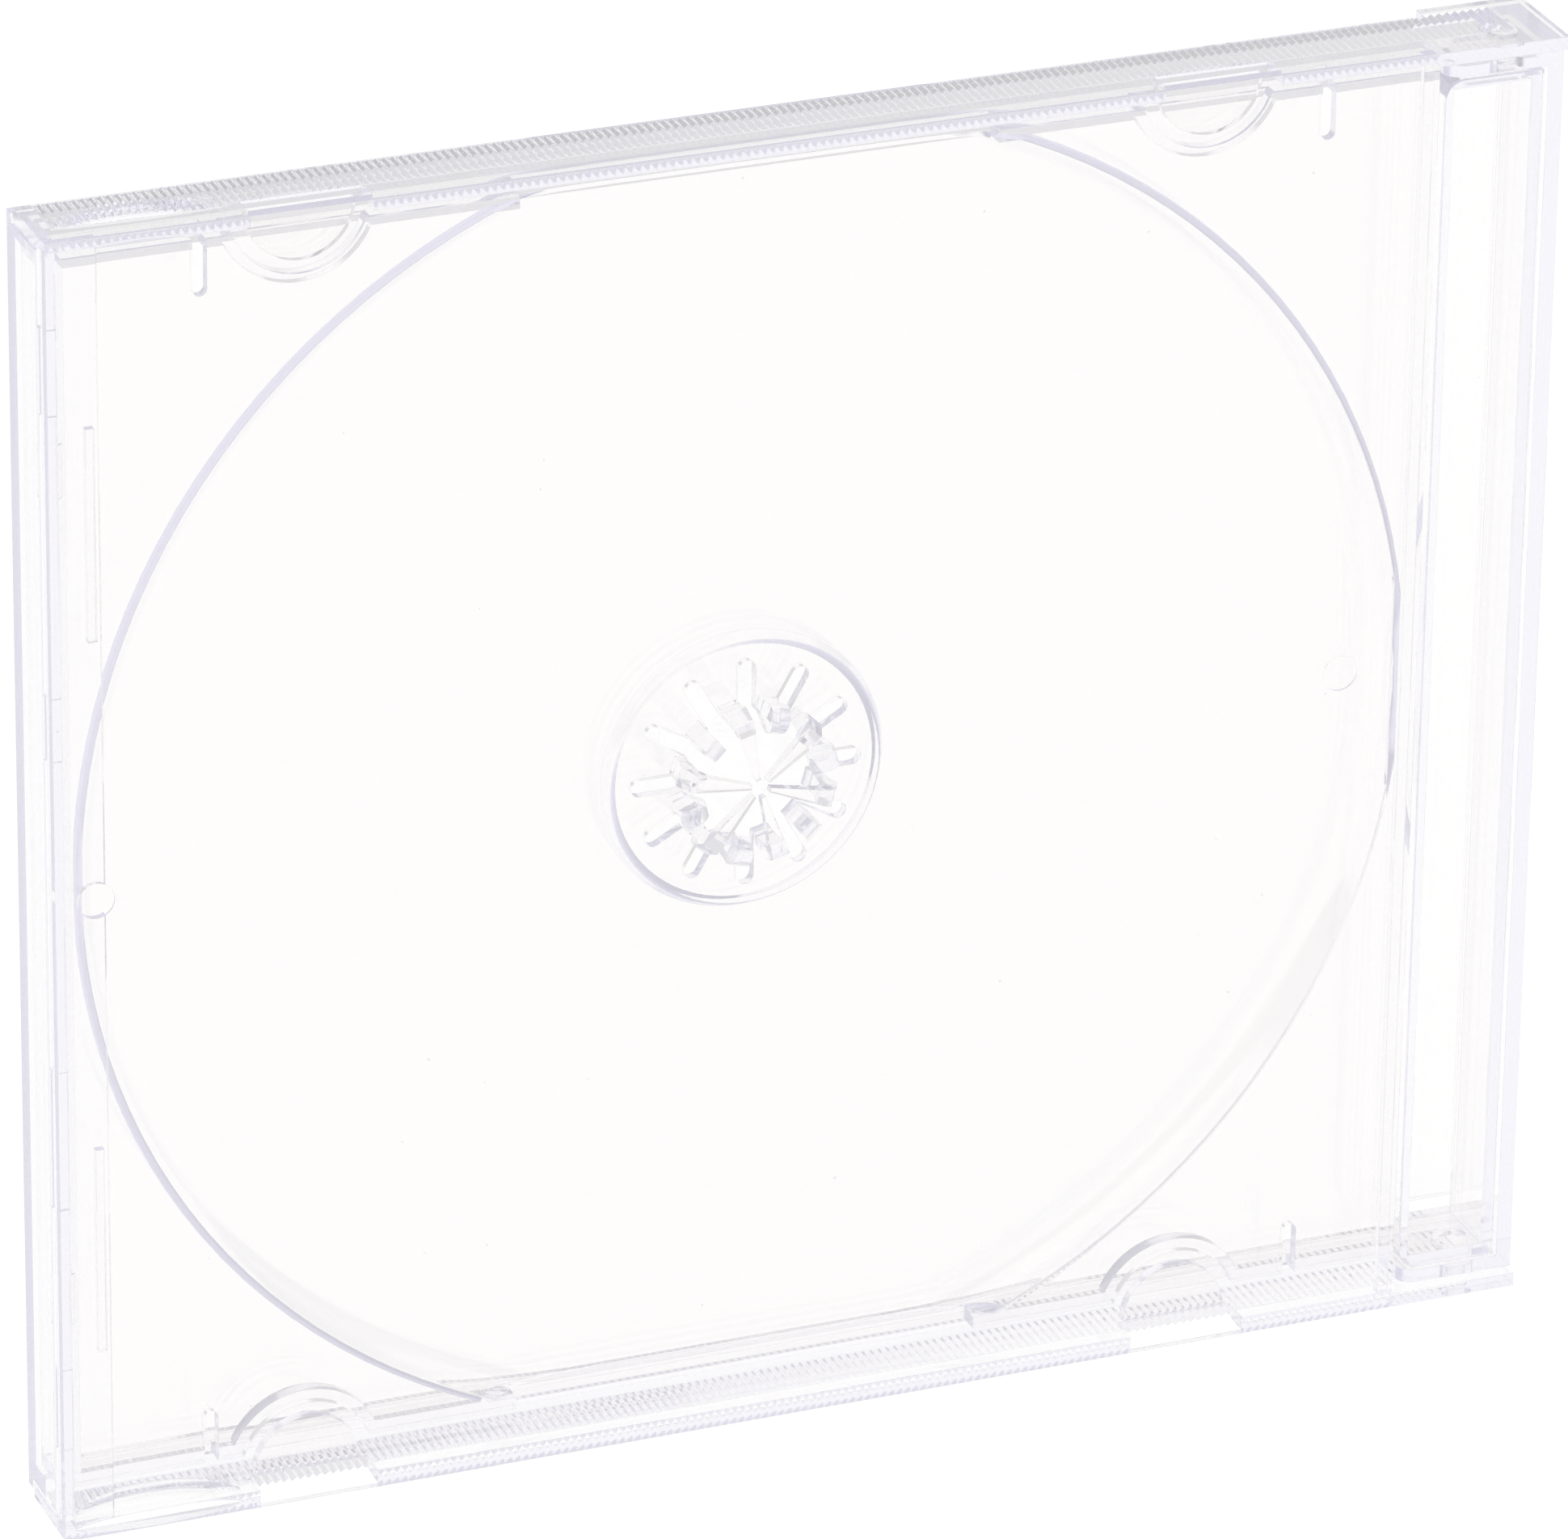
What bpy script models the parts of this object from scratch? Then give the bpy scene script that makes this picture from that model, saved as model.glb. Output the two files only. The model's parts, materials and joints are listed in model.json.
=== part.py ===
"""Clear CD jewel case, closed and standing on one long edge: a front lid, a back cover and a disc tray.

The case lies in the X-Z plane. The hinge side is at +X, the lid faces -Y and +Z is up.
All three pieces are thin injection mouldings, so each is one solid with walls of even thickness.
"""

import math

import bmesh
import bpy
from mathutils import Matrix, Vector

# Overall size of the closed case
CASE_WIDTH = 0.142
CASE_HEIGHT = 0.125
CASE_DEPTH = 0.0104

# Clearances between the pieces
SEAT_GAP = 0.0003
RUNNING_GAP = 0.00035
EDGE_GAP = 0.0004

# Front lid
LID_PLATE = 0.0012
LID_WALL = 0.0013
HINGE_STRIP = 0.0125
LIP_WIDTH = 0.0012
LIP_DEPTH = 0.0012
LIP_RELIEF = 0.00035
LIP_RELIEF_SPANS = ((-0.054, -0.046), (-0.030, -0.0165), (0.0135, 0.0195), (0.046, 0.054))
BAND_WIDTH = 0.0048
BAND_DEPTH = 0.0005
HINGE_RIB_WIDTH = 0.0012
HINGE_RIB_DEPTH = 0.0008
STOP_RIB_WIDTH = 0.0008
STOP_RIB_DEPTH = 0.0012
STOP_RIB_LENGTH = 0.020
STOP_RIB_OFFSET = 0.0345
STOP_RIB_INSET = 0.0037

# Grip ridges on the lid's long walls
RIDGE_PITCH = 0.00078
RIDGE_DEPTH = 0.00036
RIDGE_TIP_DROP = 0.00005
RIDGE_FRONT_BAND = 0.0035
RIDGE_BACK_BAND = 0.0013
RIDGE_OPEN_MARGIN = 0.0016
RIDGE_HINGE_MARGIN = 0.0032

# Thumb scoops beside the opening edge
SCOOP_LENGTH = 0.0160
SCOOP_REACH = 0.0045
SCOOP_DEPTH = 0.00085
SCOOP_MARGIN = 0.0014
SCOOP_SHARPNESS = 0.0003
SCOOP_STEP = 0.0006
SCOOP_SEGMENTS = 40
SCOOP_RINGS = 25

# Half-moon tabs that hold the booklet
TAB_RADIUS = 0.0050
TAB_THICKNESS = 0.0010
BOOKLET_SPACE = 0.0031
TAB_OFFSET = 0.0424
WINDOW_WIDTH = 0.0112
WINDOW_STEP = 0.00015

# Hinge
HINGE_INSET = 0.0045
PIN_RADIUS = 0.00145
PIN_LENGTH = 0.0015
PIN_CLEARANCE = 0.00025

# Back cover
BACK_PLATE = 0.0012
PLATE_SETBACK = 0.0007
COVER_SPINE = 0.0015
COVER_LONG_WALL = 0.0013
LONG_WALL_RISE = 0.0027
STRIP_SETBACK = 0.0009
EAR_RADIUS = 0.0015
EAR_REACH = 0.0112
NUB_LENGTH = 0.005
NUB_REACH = 0.0009
NUB_HEIGHT = 0.0008
NUB_OFFSET = 0.040
PORT_LENGTH = 0.0050
PORT_HEIGHT = 0.0018

# Disc tray
TRAY_WALL = 0.0010
TRAY_LAND_RISE = 0.0048
TRAY_FLOOR_RISE = 0.0018
DISC_CENTRE_X = -0.0044
RECESS_RADIUS = 0.0630
RECESS_FLOOR_RADIUS = 0.0620
RECESS_EDGE = 0.00115
RECESS_OPEN_EDGE = 0.0018
RECESS_HINGE_EDGE = 0.0018
RECESS_TOP_BEND = 0.0005
RECESS_FOOT_BEND = 0.0030
RIM_NOTCH_WIDTH = 0.0447
RIM_NOTCH_DEPTH = 0.0021
HALF_MOON_CLEARANCE = 0.0013
HALF_MOON_DROP = 0.0013
LAND_CORNER_RADIUS = 0.0018
LAND_LEAD = 0.0002
RELIEF_WIDTH = 0.0013
RELIEF_LENGTH = 0.0052
RELIEF_OFFSETS = (-0.0515, 0.0540)
GATE_RADIUS = 0.0017
GATE_DEPTH = 0.0002
TRAY_GATE_OFFSET = 0.0585

# Hub of the tray
PLATFORM_RADIUS = 0.0129
PLATFORM_FOOT_RADIUS = 0.0135
PLATFORM_RISE = 0.0012
PLATFORM_WALL = 0.0011
PLATFORM_TOP_BEND = 0.0005
PLATFORM_FOOT_BEND = 0.0003
HUB_HOLE_RADIUS = 0.0061
HUB_RADIUS = 0.0074
HUB_HEIGHT = 0.0055
HUB_LEG = 0.0011
HOOK_REACH = 0.00035
HOOK_RISE = 0.0016
HOOK_RAMP = 0.0006
HOOK_LAND = 0.0004
CROWN_BEVEL = 0.0012
ARM_SLOPE = 0.0006
ARM_THICKNESS = 0.0008
ARM_ROOT = 0.0003
FINGER_HEAD = 0.00135
FINGER_DROP = 0.0016
SPOKE_TIP_RADIUS = 0.0009
SPOKE_TIP_WIDTH = 0.00045
SPOKE_WIDTH = 0.0018
SPOKE_COUNT = 6
SLOT_WIDTH = 0.0016
SLOT_REACH = 0.0110

# Planes that the pieces share
HALF_WIDTH = CASE_WIDTH / 2
HALF_DEPTH = CASE_DEPTH / 2
MIDDLE = CASE_HEIGHT / 2
OVERRUN = 0.001
BEND_TURN = math.radians(20)
BEND_LEAD = 0.0001
SHARP_ANGLE = math.radians(30)
HINGE_X = HALF_WIDTH - HINGE_INSET
LID_INNER = -HALF_DEPTH + LID_PLATE
LID_END = HALF_WIDTH - HINGE_STRIP
COVER_INNER = HALF_DEPTH - BACK_PLATE
WALL_BACK = COVER_INNER - EDGE_GAP
COVER_OUTER_EDGE = LID_WALL + RUNNING_GAP
COVER_INNER_EDGE = COVER_OUTER_EDGE + COVER_LONG_WALL
STRIP_FRONT = -HALF_DEPTH + STRIP_SETBACK
EAR_START = HALF_WIDTH - EAR_REACH
ARM_SWEEP = math.hypot(HINGE_INSET, HALF_DEPTH) + RUNNING_GAP
MARGIN_END = HINGE_X - math.sqrt(ARM_SWEEP**2 - COVER_INNER**2)
TRAY_EDGE = COVER_INNER_EDGE + SEAT_GAP
TRAY_HALF_WIDTH = HALF_WIDTH - COVER_SPINE - EDGE_GAP
TRAY_FOOT = COVER_INNER - SEAT_GAP
TRAY_LAND = COVER_INNER - TRAY_LAND_RISE
TRAY_FLOOR = COVER_INNER - TRAY_FLOOR_RISE
TAB_FRONT = LID_INNER + BOOKLET_SPACE
LAND_START = EAR_START - LAND_LEAD
HUB_SEAT = TRAY_FLOOR - PLATFORM_RISE
HUB_TOP = TRAY_FLOOR - HUB_HEIGHT


def clear_scene():
    for thing in list(bpy.data.objects):
        bpy.data.objects.remove(thing, do_unlink=True)


def arc(centre_u, centre_v, radius, start, end, steps):
    """Points of an arc, with the angles in degrees, both ends included."""
    points = []
    for step in range(steps + 1):
        angle = math.radians(start + (end - start) * step / steps)
        points.append((centre_u + radius * math.cos(angle), centre_v + radius * math.sin(angle)))
    return points


def rectangle(low_u, high_u, low_v, high_v):
    return [(low_u, low_v), (high_u, low_v), (high_u, high_v), (low_u, high_v)]


def add_prism(mesh, outline, along, low, high):
    """Adds an outline in the X-Z plane run along Y, or one in the X-Y plane run along Z."""
    rings = []
    for level in (low, high):
        if along == "Y":
            corners = [(u, level, v) for u, v in outline]
        else:
            corners = [(u, v, level) for u, v in outline]
        rings.append([mesh.verts.new(corner) for corner in corners])
    bottom, top = rings
    mesh.faces.new(bottom)
    mesh.faces.new(top)
    for index in range(len(outline)):
        after = (index + 1) % len(outline)
        side = mesh.faces.new((bottom[index], bottom[after], top[after], top[index]))
        side.smooth = True


def add_turned(mesh, centre_x, centre_z, profile, segments):
    """Adds a solid turned about the Y axis through a centre, from (radius, y) points."""
    rings = []
    for radius, level in profile:
        ring = []
        for step in range(segments):
            angle = 2 * math.pi * (step + 0.5) / segments
            across = centre_x + radius * math.cos(angle)
            upward = centre_z + radius * math.sin(angle)
            ring.append(mesh.verts.new((across, level, upward)))
        rings.append(ring)
    for lower, upper in zip(rings, rings[1:]):
        for step in range(segments):
            after = (step + 1) % segments
            side = mesh.faces.new((lower[step], lower[after], upper[after], upper[step]))
            side.smooth = True
    mesh.faces.new(rings[0])
    mesh.faces.new(rings[-1])


def bend_points(bend, slope):
    """Points of a round bend from flat to a slope, as the way back to the corner and the drop."""
    reach = bend * math.tan(slope / 2)
    steps = math.ceil(slope / BEND_TURN)
    points = []
    for step in range(steps + 1):
        angle = slope * step / steps
        points.append((reach - bend * math.sin(angle), bend * (1 - math.cos(angle))))
    return points


def rounded_step(high_radius, high, low_radius, low, top_bend, foot_bend):
    """Side view of the two bends of a sloping step between two flat levels."""
    side = math.copysign(1, high_radius - low_radius)
    slope = math.atan2(low - high, abs(high_radius - low_radius))
    top = [(high_radius + side * back, high + drop) for back, drop in bend_points(top_bend, slope)]
    foot = [(low_radius - side * back, low - drop) for back, drop in bend_points(foot_bend, slope)]
    return top, foot[::-1]


def lead_in(profile, level):
    """Carries a side view's first chord on a little way, and then goes straight to a level."""
    start, after = profile[0], profile[1]
    share = BEND_LEAD / abs(start[1] - after[1])
    across = start[0] + (start[0] - after[0]) * share
    beyond = start[1] + (start[1] - after[1]) * share
    return [(across, level), (across, beyond)] + profile


def clip(mesh, point, outward):
    """Cuts a closed mesh off at a plane and closes it again."""
    everything = mesh.verts[:] + mesh.edges[:] + mesh.faces[:]
    cut_result = bmesh.ops.bisect_plane(
        mesh, geom=everything, plane_co=point, plane_no=outward, clear_outer=True
    )
    rim = [item for item in cut_result["geom_cut"] if isinstance(item, bmesh.types.BMEdge)]
    bmesh.ops.edgeloop_fill(mesh, edges=rim)


def make_object(name, mesh):
    bmesh.ops.recalc_face_normals(mesh, faces=mesh.faces)
    if mesh.calc_volume(signed=True) < 0:
        bmesh.ops.reverse_faces(mesh, faces=mesh.faces)
    data = bpy.data.meshes.new(name)
    mesh.to_mesh(data)
    mesh.free()
    data.set_sharp_from_angle(angle=SHARP_ANGLE)
    made = bpy.data.objects.new(name, data)
    bpy.context.scene.collection.objects.link(made)
    return made


def helper(name, mesh):
    """A body that only shapes another one, so it isn't part of the case."""
    made = make_object(name, mesh)
    made.hide_render = True
    made.display_type = "WIRE"
    return made


def boolean(target, other, operation):
    modifier = target.modifiers.new(other.name, "BOOLEAN")
    modifier.operation = operation
    modifier.object = other
    modifier.solver = "EXACT"


def cut(target, name, mesh):
    boolean(target, helper(name, mesh), "DIFFERENCE")


def join(target, name, mesh):
    boolean(target, helper(name, mesh), "UNION")


def move_origin(thing, point):
    """Puts an object's origin at a point and leaves its shape where it is."""
    thing.data.transform(Matrix.Translation(-Vector(point)))
    thing.location = point


def clear_plastic(name, colour, roughness):
    material = bpy.data.materials.new(name)
    material.use_nodes = True
    shader = material.node_tree.nodes["Principled BSDF"]
    shader.inputs["Base Color"].default_value = colour
    shader.inputs["Metallic"].default_value = 0.0
    shader.inputs["Roughness"].default_value = roughness
    shader.inputs["IOR"].default_value = 1.59
    shader.inputs["Transmission Weight"].default_value = 1.0
    return material


def both_long_edges(outline):
    """An X-Z outline at the bottom edge and its mirror image at the top edge."""
    flipped = [(u, CASE_HEIGHT - v) for u, v in reversed(outline)]
    return outline, flipped


def tab_centres():
    return DISC_CENTRE_X - TAB_OFFSET, DISC_CENTRE_X + TAB_OFFSET


def lid_body():
    """The block of the lid: as deep as its long walls, and full depth at the hinge arms."""
    mesh = bmesh.new()
    arm_start = MARGIN_END + SEAT_GAP
    outline = [
        (-HALF_WIDTH, -HALF_DEPTH),
        (HALF_WIDTH, -HALF_DEPTH),
        (HALF_WIDTH, HALF_DEPTH),
        (arm_start, HALF_DEPTH),
        (arm_start, WALL_BACK),
        (-HALF_WIDTH, WALL_BACK),
    ]
    add_prism(mesh, outline, "Z", 0, CASE_HEIGHT)
    return make_object("front_lid", mesh)


def lid_hollow():
    """All that is removed behind the plate, between the long walls."""
    mesh = bmesh.new()
    lip_end = -HALF_WIDTH + LIP_WIDTH
    band_end = -HALF_WIDTH + BAND_WIDTH
    rib_start = LID_END - HINGE_RIB_WIDTH
    far = HALF_WIDTH + OVERRUN
    deep = HALF_DEPTH + OVERRUN
    outline = [
        (-far, LID_INNER + LIP_DEPTH),
        (lip_end, LID_INNER + LIP_DEPTH),
        (lip_end, LID_INNER + BAND_DEPTH),
        (band_end, LID_INNER + BAND_DEPTH),
        (band_end, LID_INNER),
        (rib_start, LID_INNER),
        (rib_start, LID_INNER + HINGE_RIB_DEPTH),
        (LID_END, LID_INNER + HINGE_RIB_DEPTH),
        (LID_END, -deep),
        (far, -deep),
        (far, deep),
        (-far, deep),
    ]
    add_prism(mesh, outline, "Z", LID_WALL, CASE_HEIGHT - LID_WALL)
    return mesh


def half_moon_tabs():
    """Half-round tabs on the long walls, rooted halfway into the wall."""
    mesh = bmesh.new()
    root = LID_WALL / 2
    for centre in tab_centres():
        outline = arc(centre, LID_WALL, TAB_RADIUS, 0, 180, 20)
        outline += [(centre - TAB_RADIUS, root), (centre + TAB_RADIUS, root)]
        for shape in both_long_edges(outline):
            add_prism(mesh, shape, "Y", TAB_FRONT, TAB_FRONT + TAB_THICKNESS)
    return mesh


def tab_windows():
    """Windows through the long walls, from the plate to each tab."""
    mesh = bmesh.new()
    for centre in tab_centres():
        half = WINDOW_WIDTH / 2
        outline = rectangle(centre - half, centre + half, -OVERRUN, LID_WALL + OVERRUN)
        for shape in both_long_edges(outline):
            add_prism(mesh, shape, "Y", LID_INNER, TAB_FRONT - WINDOW_STEP)
    return mesh


def grip_ridges():
    """V-grooves that run across the long walls, all cut by one toothed body an edge."""
    mesh = bmesh.new()
    first = -HALF_WIDTH + RIDGE_OPEN_MARGIN
    count = int((CASE_WIDTH - RIDGE_OPEN_MARGIN - RIDGE_HINGE_MARGIN) / RIDGE_PITCH)
    outline = [(first, RIDGE_TIP_DROP)]
    for tooth in range(count):
        start = first + tooth * RIDGE_PITCH
        outline.append((start + RIDGE_PITCH / 2, RIDGE_DEPTH))
        outline.append((start + RIDGE_PITCH, RIDGE_TIP_DROP))
    outline.append((first + count * RIDGE_PITCH, -OVERRUN))
    outline.append((first, -OVERRUN))
    for shape in both_long_edges(outline):
        add_prism(mesh, shape, "Y", -HALF_DEPTH + RIDGE_FRONT_BAND, HALF_DEPTH - RIDGE_BACK_BAND)
    return mesh


def thumb_scoop(edge, side):
    """A shallow scoop in the ridges: half an ellipsoid, flat towards the lid's plate."""
    mesh = bmesh.new()
    tall = SCOOP_DEPTH + SCOOP_SHARPNESS
    share = math.sqrt(1 - (SCOOP_SHARPNESS / tall) ** 2)
    centre_x = -HALF_WIDTH + SCOOP_MARGIN + SCOOP_LENGTH / 2
    front = -HALF_DEPTH + RIDGE_FRONT_BAND - SCOOP_STEP
    size = Matrix.Diagonal((SCOOP_LENGTH / 2 / share, SCOOP_REACH / share, tall, 1))
    place = Matrix.Translation((centre_x, front, edge + side * SCOOP_SHARPNESS))
    half_step = Matrix.Rotation(math.pi / SCOOP_SEGMENTS, 4, "Z")
    bmesh.ops.create_uvsphere(
        mesh,
        u_segments=SCOOP_SEGMENTS,
        v_segments=SCOOP_RINGS,
        radius=1,
        matrix=place @ size @ half_step,
    )
    for face in mesh.faces:
        face.smooth = True
    clip(mesh, (0, front, 0), (0, -1, 0))
    clip(mesh, (0, 0, edge + side * OVERRUN), (0, 0, side))
    return mesh


def hinge_pins():
    """Pins on the inner faces of the two arms, on the hinge axis."""
    mesh = bmesh.new()
    outline = arc(HINGE_X, 0, PIN_RADIUS, 0, 345, 23)
    root = LID_WALL / 2
    add_prism(mesh, outline, "Z", root, LID_WALL + PIN_LENGTH)
    add_prism(mesh, outline, "Z", CASE_HEIGHT - LID_WALL - PIN_LENGTH, CASE_HEIGHT - root)
    return mesh


def booklet_stops():
    """Two upright ribs on the plate that stop the booklet short of the opening edge."""
    mesh = bmesh.new()
    start = -HALF_WIDTH + STOP_RIB_INSET
    for side in (-1, 1):
        centre = MIDDLE + side * STOP_RIB_OFFSET
        half = STOP_RIB_LENGTH / 2
        outline = rectangle(start, start + STOP_RIB_WIDTH, centre - half, centre + half)
        add_prism(mesh, outline, "Y", LID_INNER - LID_PLATE / 2, LID_INNER + STOP_RIB_DEPTH)
    return mesh


def lip_reliefs():
    """Shallow reliefs in the back of the lip, where it is a little thinner."""
    mesh = bmesh.new()
    back = LID_INNER + LIP_DEPTH
    start = -HALF_WIDTH - OVERRUN
    end = -HALF_WIDTH + LIP_WIDTH + OVERRUN
    for low, high in LIP_RELIEF_SPANS:
        outline = rectangle(start, end, MIDDLE + low, MIDDLE + high)
        add_prism(mesh, outline, "Y", back - LIP_RELIEF, back + OVERRUN)
    return mesh


def lid_gate():
    """The round mark where the moulding was filled, on the band of the opening edge."""
    mesh = bmesh.new()
    outline = arc(-HALF_WIDTH + BAND_WIDTH - GATE_RADIUS / 2, MIDDLE, GATE_RADIUS, 0, 345, 23)
    surface = LID_INNER + BAND_DEPTH
    add_prism(mesh, outline, "Y", LID_INNER - GATE_DEPTH, surface + OVERRUN)
    return mesh


def build_lid():
    lid = lid_body()
    cut(lid, "grip_ridges", grip_ridges())
    cut(lid, "bottom_scoop", thumb_scoop(0, -1))
    cut(lid, "top_scoop", thumb_scoop(CASE_HEIGHT, 1))
    cut(lid, "lid_hollow", lid_hollow())
    join(lid, "half_moon_tabs", half_moon_tabs())
    cut(lid, "tab_windows", tab_windows())
    join(lid, "hinge_pins", hinge_pins())
    join(lid, "booklet_stops", booklet_stops())
    cut(lid, "lip_reliefs", lip_reliefs())
    cut(lid, "lid_gate", lid_gate())
    move_origin(lid, (HINGE_X, 0, 0))
    lid.data.materials.append(clear_plastic("clear_lid", (0.97, 0.97, 0.99, 1), 0.03))
    return lid


def cover_body():
    mesh = bmesh.new()
    add_prism(
        mesh, rectangle(-HALF_WIDTH, HALF_WIDTH, STRIP_FRONT, HALF_DEPTH), "Z", 0, CASE_HEIGHT
    )
    return make_object("back_cover", mesh)


def cover_margins():
    """Steps along both long edges, so that the lid's walls and arms pass outside the cover."""
    mesh = bmesh.new()
    far = HALF_WIDTH + OVERRUN
    front = STRIP_FRONT - OVERRUN
    outline = [
        (-far, front),
        (far, front),
        (far, HALF_DEPTH + OVERRUN),
        (MARGIN_END, HALF_DEPTH + OVERRUN),
        (MARGIN_END, COVER_INNER),
        (-far, COVER_INNER),
    ]
    add_prism(mesh, outline, "Z", -OVERRUN, COVER_OUTER_EDGE)
    add_prism(mesh, outline, "Z", CASE_HEIGHT - COVER_OUTER_EDGE, CASE_HEIGHT + OVERRUN)
    return mesh


def plate_setback():
    """Sets the plate's long edges back behind the lid's ridged walls, as far as its arms."""
    mesh = bmesh.new()
    outline = rectangle(-HALF_WIDTH - OVERRUN, MARGIN_END + OVERRUN, -OVERRUN, PLATE_SETBACK)
    for shape in both_long_edges(outline):
        add_prism(mesh, shape, "Y", COVER_INNER - OVERRUN, HALF_DEPTH + OVERRUN)
    return mesh


def cover_hollow():
    """The space that the tray fills, between the spines and the long walls."""
    mesh = bmesh.new()
    inside = HALF_WIDTH - COVER_SPINE
    outline = rectangle(-inside, inside, STRIP_FRONT - OVERRUN, COVER_INNER)
    add_prism(mesh, outline, "Z", COVER_INNER_EDGE, CASE_HEIGHT - COVER_INNER_EDGE)
    return mesh


def opening_side_drop():
    """Lowers the opening spine under the lid's lip, back to the rounded ears of the hinge."""
    mesh = bmesh.new()
    spine_top = LID_INNER + LIP_DEPTH + EDGE_GAP
    front = STRIP_FRONT - OVERRUN
    corner = EAR_START + EAR_RADIUS
    outline = [(-HALF_WIDTH - OVERRUN, front), (corner, front)]
    outline += arc(corner, STRIP_FRONT + EAR_RADIUS, EAR_RADIUS, 270, 180, 8)
    outline += [(EAR_START, spine_top), (-HALF_WIDTH - OVERRUN, spine_top)]
    add_prism(mesh, outline, "Z", -OVERRUN, CASE_HEIGHT + OVERRUN)
    return mesh


def long_wall_drop():
    """Lowers the long walls between the opening spine and the ears."""
    mesh = bmesh.new()
    inside = HALF_WIDTH - COVER_SPINE
    top = COVER_INNER - LONG_WALL_RISE
    outline = rectangle(-inside, EAR_START, STRIP_FRONT - OVERRUN, top)
    add_prism(mesh, outline, "Z", -OVERRUN, CASE_HEIGHT + OVERRUN)
    return mesh


def pin_holes():
    mesh = bmesh.new()
    outline = arc(HINGE_X, 0, PIN_RADIUS + PIN_CLEARANCE, 0, 345, 23)
    add_prism(mesh, outline, "Z", -OVERRUN, CASE_HEIGHT + OVERRUN)
    return mesh


def mould_ports():
    """Small windows through the back plate, beside the two ears."""
    mesh = bmesh.new()
    low = COVER_INNER_EDGE + TRAY_WALL
    outline = rectangle(HINGE_X - PORT_LENGTH / 2, HINGE_X + PORT_LENGTH / 2, low, low + PORT_HEIGHT)
    for shape in both_long_edges(outline):
        add_prism(mesh, shape, "Y", COVER_INNER - OVERRUN, HALF_DEPTH + OVERRUN)
    return mesh


def tray_nubs():
    """Wedges on the opening spine, which hold the tray's edge down."""
    mesh = bmesh.new()
    wall = -HALF_WIDTH + COVER_SPINE
    seat = TRAY_LAND - SEAT_GAP
    outline = [
        (wall - COVER_SPINE / 2, seat),
        (wall + NUB_REACH, seat),
        (wall, seat - NUB_HEIGHT),
        (wall - COVER_SPINE / 2, seat - NUB_HEIGHT),
    ]
    for side in (-1, 1):
        centre = MIDDLE + side * NUB_OFFSET
        add_prism(mesh, outline, "Z", centre - NUB_LENGTH / 2, centre + NUB_LENGTH / 2)
    return mesh


def build_cover():
    cover = cover_body()
    cut(cover, "cover_margins", cover_margins())
    cut(cover, "plate_setback", plate_setback())
    cut(cover, "cover_hollow", cover_hollow())
    cut(cover, "opening_side_drop", opening_side_drop())
    cut(cover, "long_wall_drop", long_wall_drop())
    cut(cover, "pin_holes", pin_holes())
    cut(cover, "mould_ports", mould_ports())
    join(cover, "tray_nubs", tray_nubs())
    cover.data.materials.append(clear_plastic("clear_cover", (0.97, 0.97, 0.99, 1), 0.03))
    return cover


def tray_body():
    mesh = bmesh.new()
    outline = rectangle(-TRAY_HALF_WIDTH, TRAY_HALF_WIDTH, TRAY_EDGE, CASE_HEIGHT - TRAY_EDGE)
    add_prism(mesh, outline, "Y", STRIP_FRONT, TRAY_FOOT)
    return make_object("disc_tray", mesh)


def land_step():
    """Lowers all of the tray but the raised land along the hinge, which has round corners."""
    mesh = bmesh.new()
    corner = LAND_START + LAND_CORNER_RADIUS
    low = TRAY_EDGE
    high = CASE_HEIGHT - TRAY_EDGE
    outline = [(-TRAY_HALF_WIDTH - OVERRUN, low - OVERRUN), (corner, low - OVERRUN)]
    outline += arc(corner, low + LAND_CORNER_RADIUS, LAND_CORNER_RADIUS, 270, 180, 8)
    outline += arc(corner, high - LAND_CORNER_RADIUS, LAND_CORNER_RADIUS, 180, 90, 8)
    outline += [(corner, high + OVERRUN), (-TRAY_HALF_WIDTH - OVERRUN, high + OVERRUN)]
    add_prism(mesh, outline, "Y", STRIP_FRONT - OVERRUN, TRAY_LAND)
    return mesh


def tray_underside():
    """Hollows the tray from behind, under its land and up into the raised land."""
    mesh = bmesh.new()
    inside = TRAY_HALF_WIDTH - TRAY_WALL
    raised = LAND_START + TRAY_WALL
    outline = [
        (-inside, TRAY_LAND + TRAY_WALL),
        (raised, TRAY_LAND + TRAY_WALL),
        (raised, STRIP_FRONT + TRAY_WALL),
        (inside, STRIP_FRONT + TRAY_WALL),
        (inside, TRAY_FOOT + OVERRUN),
        (-inside, TRAY_FOOT + OVERRUN),
    ]
    low = TRAY_EDGE + TRAY_WALL
    add_prism(mesh, outline, "Z", low, CASE_HEIGHT - low)
    return mesh


def recess_bowl(wall):
    """The disc recess: a shallow cone, flattened at all four sides, widened by a wall."""
    ratio = (RECESS_RADIUS - RECESS_FLOOR_RADIUS) / (TRAY_FLOOR - TRAY_LAND)
    edge = RECESS_RADIUS + wall
    floor = TRAY_FLOOR + wall
    foot_radius = edge - ratio * (floor - TRAY_LAND)
    top, foot = rounded_step(
        edge, TRAY_LAND, foot_radius, floor, RECESS_TOP_BEND, RECESS_FOOT_BEND + wall
    )
    profile = [top[-1]] + foot if wall > 0 else lead_in(top + foot, TRAY_LAND - OVERRUN)
    mesh = bmesh.new()
    add_turned(mesh, DISC_CENTRE_X, MIDDLE, profile, 128)
    edge = TRAY_EDGE + RECESS_EDGE - wall / 2
    clip(mesh, (0, 0, edge), (0, 0, -1))
    clip(mesh, (0, 0, CASE_HEIGHT - edge), (0, 0, 1))
    clip(mesh, (-TRAY_HALF_WIDTH + RECESS_OPEN_EDGE - wall / 2, 0, 0), (-1, 0, 0))
    clip(mesh, (LAND_START - RECESS_HINGE_EDGE + wall, 0, 0), (1, 0, 0))
    return mesh


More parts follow.
